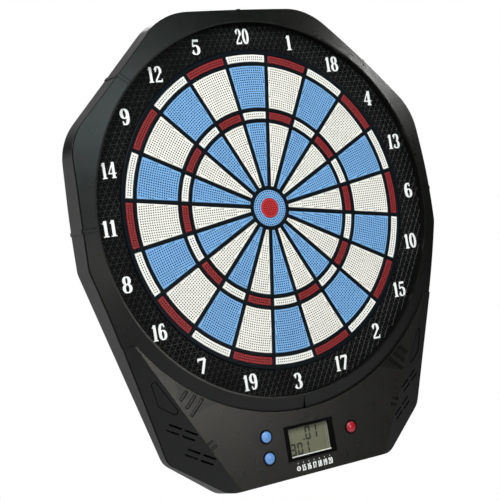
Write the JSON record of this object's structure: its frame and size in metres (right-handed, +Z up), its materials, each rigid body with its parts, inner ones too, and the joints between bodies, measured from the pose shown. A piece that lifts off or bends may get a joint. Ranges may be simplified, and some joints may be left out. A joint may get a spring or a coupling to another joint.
{
  "type": "electronic dartboard",
  "caption": "Wall-hung electronic dartboard with sprung perforated target segments, a numbered ring and a console with a small display and push buttons.",
  "frame": {"origin": "on the plane of the wall, on the axis of the bull", "axes": "+X to the right seen from the front, +Z up, the front faces -Y and the wall is on +Y"},
  "size_m": [0.4468, 0.034, 0.5174],
  "materials": {
    "housing": "fine grain",
    "surround": "fine grain",
    "number_ring": "satin with a fine lattice",
    "spider": "satin",
    "mat": "matt",
    "membrane": "film",
    "board": "solder mask",
    "display": "liquid crystal display",
    "bezel": "gloss",
    "pad": "silicone",
    "sounder": "satin",
    "cells": "plain sleeve",
    "contacts": "nickel plated",
    "screws": "zinc plated",
    "blue_button": "gloss",
    "red_button": "gloss",
    "red_segment": "satin",
    "blue_segment": "satin",
    "cream_segment": "satin",
    "white_segment": "satin"
  },
  "bodies": {
    "casing": {"rear_housing": "housing", "front_surround": "surround", "number_ring": "number_ring", "spider": "spider", "rubber_mat": "mat", "switch_membrane": "membrane", "circuit_board": "board", "lcd_module": "display", "lcd_bezel": "bezel", "button_pad": "pad", "sounder": "sounder", "battery_cells": "cells", "battery_contacts": "contacts", "housing_screws": "screws"},
    "singles_20": {"singles_20": "blue_segment"},
    "double_treble_20": {"double_treble_20": "white_segment"},
    "singles_01": {"singles_01": "cream_segment"},
    "double_treble_01": {"double_treble_01": "red_segment"},
    "singles_18": {"singles_18": "blue_segment"},
    "double_treble_18": {"double_treble_18": "white_segment"},
    "singles_04": {"singles_04": "cream_segment"},
    "double_treble_04": {"double_treble_04": "red_segment"},
    "singles_13": {"singles_13": "blue_segment"},
    "double_treble_13": {"double_treble_13": "white_segment"},
    "singles_06": {"singles_06": "cream_segment"},
    "double_treble_06": {"double_treble_06": "red_segment"},
    "singles_10": {"singles_10": "blue_segment"},
    "double_treble_10": {"double_treble_10": "white_segment"},
    "singles_15": {"singles_15": "cream_segment"},
    "double_treble_15": {"double_treble_15": "red_segment"},
    "singles_02": {"singles_02": "blue_segment"},
    "double_treble_02": {"double_treble_02": "white_segment"},
    "singles_17": {"singles_17": "cream_segment"},
    "double_treble_17": {"double_treble_17": "red_segment"},
    "singles_03": {"singles_03": "blue_segment"},
    "double_treble_03": {"double_treble_03": "white_segment"},
    "singles_19": {"singles_19": "cream_segment"},
    "double_treble_19": {"double_treble_19": "red_segment"},
    "singles_07": {"singles_07": "blue_segment"},
    "double_treble_07": {"double_treble_07": "white_segment"},
    "singles_16": {"singles_16": "cream_segment"},
    "double_treble_16": {"double_treble_16": "red_segment"},
    "singles_08": {"singles_08": "blue_segment"},
    "double_treble_08": {"double_treble_08": "white_segment"},
    "singles_11": {"singles_11": "cream_segment"},
    "double_treble_11": {"double_treble_11": "red_segment"},
    "singles_14": {"singles_14": "blue_segment"},
    "double_treble_14": {"double_treble_14": "white_segment"},
    "singles_09": {"singles_09": "cream_segment"},
    "double_treble_09": {"double_treble_09": "red_segment"},
    "singles_12": {"singles_12": "blue_segment"},
    "double_treble_12": {"double_treble_12": "white_segment"},
    "singles_05": {"singles_05": "cream_segment"},
    "double_treble_05": {"double_treble_05": "red_segment"},
    "outer_bull": {"outer_bull": "blue_segment"},
    "inner_bull": {"inner_bull": "red_segment"},
    "game_button": {"game_button": "blue_button"},
    "option_button": {"option_button": "blue_button"},
    "change_button": {"change_button": "red_button"},
    "battery_door": {"battery_door": "housing"}
  },
  "joints": [
    {"name": "singles_20_press", "type": "slide", "parent": "casing", "child": "singles_20", "axis": [0, 1, 0], "range_m": [0, 0.001], "stiffness_N_per_m": 800},
    {"name": "double_treble_20_press", "type": "slide", "parent": "casing", "child": "double_treble_20", "axis": [0, 1, 0], "range_m": [0, 0.001], "stiffness_N_per_m": 800},
    {"name": "singles_01_press", "type": "slide", "parent": "casing", "child": "singles_01", "axis": [0, 1, 0], "range_m": [0, 0.001], "stiffness_N_per_m": 800},
    {"name": "double_treble_01_press", "type": "slide", "parent": "casing", "child": "double_treble_01", "axis": [0, 1, 0], "range_m": [0, 0.001], "stiffness_N_per_m": 800},
    {"name": "singles_18_press", "type": "slide", "parent": "casing", "child": "singles_18", "axis": [0, 1, 0], "range_m": [0, 0.001], "stiffness_N_per_m": 800},
    {"name": "double_treble_18_press", "type": "slide", "parent": "casing", "child": "double_treble_18", "axis": [0, 1, 0], "range_m": [0, 0.001], "stiffness_N_per_m": 800},
    {"name": "singles_04_press", "type": "slide", "parent": "casing", "child": "singles_04", "axis": [0, 1, 0], "range_m": [0, 0.001], "stiffness_N_per_m": 800},
    {"name": "double_treble_04_press", "type": "slide", "parent": "casing", "child": "double_treble_04", "axis": [0, 1, 0], "range_m": [0, 0.001], "stiffness_N_per_m": 800},
    {"name": "singles_13_press", "type": "slide", "parent": "casing", "child": "singles_13", "axis": [0, 1, 0], "range_m": [0, 0.001], "stiffness_N_per_m": 800},
    {"name": "double_treble_13_press", "type": "slide", "parent": "casing", "child": "double_treble_13", "axis": [0, 1, 0], "range_m": [0, 0.001], "stiffness_N_per_m": 800},
    {"name": "singles_06_press", "type": "slide", "parent": "casing", "child": "singles_06", "axis": [0, 1, 0], "range_m": [0, 0.001], "stiffness_N_per_m": 800},
    {"name": "double_treble_06_press", "type": "slide", "parent": "casing", "child": "double_treble_06", "axis": [0, 1, 0], "range_m": [0, 0.001], "stiffness_N_per_m": 800},
    {"name": "singles_10_press", "type": "slide", "parent": "casing", "child": "singles_10", "axis": [0, 1, 0], "range_m": [0, 0.001], "stiffness_N_per_m": 800},
    {"name": "double_treble_10_press", "type": "slide", "parent": "casing", "child": "double_treble_10", "axis": [0, 1, 0], "range_m": [0, 0.001], "stiffness_N_per_m": 800},
    {"name": "singles_15_press", "type": "slide", "parent": "casing", "child": "singles_15", "axis": [0, 1, 0], "range_m": [0, 0.001], "stiffness_N_per_m": 800},
    {"name": "double_treble_15_press", "type": "slide", "parent": "casing", "child": "double_treble_15", "axis": [0, 1, 0], "range_m": [0, 0.001], "stiffness_N_per_m": 800},
    {"name": "singles_02_press", "type": "slide", "parent": "casing", "child": "singles_02", "axis": [0, 1, 0], "range_m": [0, 0.001], "stiffness_N_per_m": 800},
    {"name": "double_treble_02_press", "type": "slide", "parent": "casing", "child": "double_treble_02", "axis": [0, 1, 0], "range_m": [0, 0.001], "stiffness_N_per_m": 800},
    {"name": "singles_17_press", "type": "slide", "parent": "casing", "child": "singles_17", "axis": [0, 1, 0], "range_m": [0, 0.001], "stiffness_N_per_m": 800},
    {"name": "double_treble_17_press", "type": "slide", "parent": "casing", "child": "double_treble_17", "axis": [0, 1, 0], "range_m": [0, 0.001], "stiffness_N_per_m": 800},
    {"name": "singles_03_press", "type": "slide", "parent": "casing", "child": "singles_03", "axis": [0, 1, 0], "range_m": [0, 0.001], "stiffness_N_per_m": 800},
    {"name": "double_treble_03_press", "type": "slide", "parent": "casing", "child": "double_treble_03", "axis": [0, 1, 0], "range_m": [0, 0.001], "stiffness_N_per_m": 800},
    {"name": "singles_19_press", "type": "slide", "parent": "casing", "child": "singles_19", "axis": [0, 1, 0], "range_m": [0, 0.001], "stiffness_N_per_m": 800},
    {"name": "double_treble_19_press", "type": "slide", "parent": "casing", "child": "double_treble_19", "axis": [0, 1, 0], "range_m": [0, 0.001], "stiffness_N_per_m": 800},
    {"name": "singles_07_press", "type": "slide", "parent": "casing", "child": "singles_07", "axis": [0, 1, 0], "range_m": [0, 0.001], "stiffness_N_per_m": 800},
    {"name": "double_treble_07_press", "type": "slide", "parent": "casing", "child": "double_treble_07", "axis": [0, 1, 0], "range_m": [0, 0.001], "stiffness_N_per_m": 800},
    {"name": "singles_16_press", "type": "slide", "parent": "casing", "child": "singles_16", "axis": [0, 1, 0], "range_m": [0, 0.001], "stiffness_N_per_m": 800},
    {"name": "double_treble_16_press", "type": "slide", "parent": "casing", "child": "double_treble_16", "axis": [0, 1, 0], "range_m": [0, 0.001], "stiffness_N_per_m": 800},
    {"name": "singles_08_press", "type": "slide", "parent": "casing", "child": "singles_08", "axis": [0, 1, 0], "range_m": [0, 0.001], "stiffness_N_per_m": 800},
    {"name": "double_treble_08_press", "type": "slide", "parent": "casing", "child": "double_treble_08", "axis": [0, 1, 0], "range_m": [0, 0.001], "stiffness_N_per_m": 800},
    {"name": "singles_11_press", "type": "slide", "parent": "casing", "child": "singles_11", "axis": [0, 1, 0], "range_m": [0, 0.001], "stiffness_N_per_m": 800},
    {"name": "double_treble_11_press", "type": "slide", "parent": "casing", "child": "double_treble_11", "axis": [0, 1, 0], "range_m": [0, 0.001], "stiffness_N_per_m": 800},
    {"name": "singles_14_press", "type": "slide", "parent": "casing", "child": "singles_14", "axis": [0, 1, 0], "range_m": [0, 0.001], "stiffness_N_per_m": 800},
    {"name": "double_treble_14_press", "type": "slide", "parent": "casing", "child": "double_treble_14", "axis": [0, 1, 0], "range_m": [0, 0.001], "stiffness_N_per_m": 800},
    {"name": "singles_09_press", "type": "slide", "parent": "casing", "child": "singles_09", "axis": [0, 1, 0], "range_m": [0, 0.001], "stiffness_N_per_m": 800},
    {"name": "double_treble_09_press", "type": "slide", "parent": "casing", "child": "double_treble_09", "axis": [0, 1, 0], "range_m": [0, 0.001], "stiffness_N_per_m": 800},
    {"name": "singles_12_press", "type": "slide", "parent": "casing", "child": "singles_12", "axis": [0, 1, 0], "range_m": [0, 0.001], "stiffness_N_per_m": 800},
    {"name": "double_treble_12_press", "type": "slide", "parent": "casing", "child": "double_treble_12", "axis": [0, 1, 0], "range_m": [0, 0.001], "stiffness_N_per_m": 800},
    {"name": "singles_05_press", "type": "slide", "parent": "casing", "child": "singles_05", "axis": [0, 1, 0], "range_m": [0, 0.001], "stiffness_N_per_m": 800},
    {"name": "double_treble_05_press", "type": "slide", "parent": "casing", "child": "double_treble_05", "axis": [0, 1, 0], "range_m": [0, 0.001], "stiffness_N_per_m": 800},
    {"name": "outer_bull_press", "type": "slide", "parent": "casing", "child": "outer_bull", "axis": [0, 1, 0], "range_m": [0, 0.001], "stiffness_N_per_m": 800},
    {"name": "inner_bull_press", "type": "slide", "parent": "casing", "child": "inner_bull", "axis": [0, 1, 0], "range_m": [0, 0.001], "stiffness_N_per_m": 800},
    {"name": "game_button_press", "type": "slide", "parent": "casing", "child": "game_button", "axis": [0, 1, 0], "range_m": [0, 0.0012], "stiffness_N_per_m": 250},
    {"name": "option_button_press", "type": "slide", "parent": "casing", "child": "option_button", "axis": [0, 1, 0], "range_m": [0, 0.0012], "stiffness_N_per_m": 250},
    {"name": "change_button_press", "type": "slide", "parent": "casing", "child": "change_button", "axis": [0, 1, 0], "range_m": [0, 0.0012], "stiffness_N_per_m": 250},
    {"name": "battery_door_lift", "type": "slide", "parent": "casing", "child": "battery_door", "axis": [0, 1, 0], "range_m": [0, 0.02]}
  ]
}
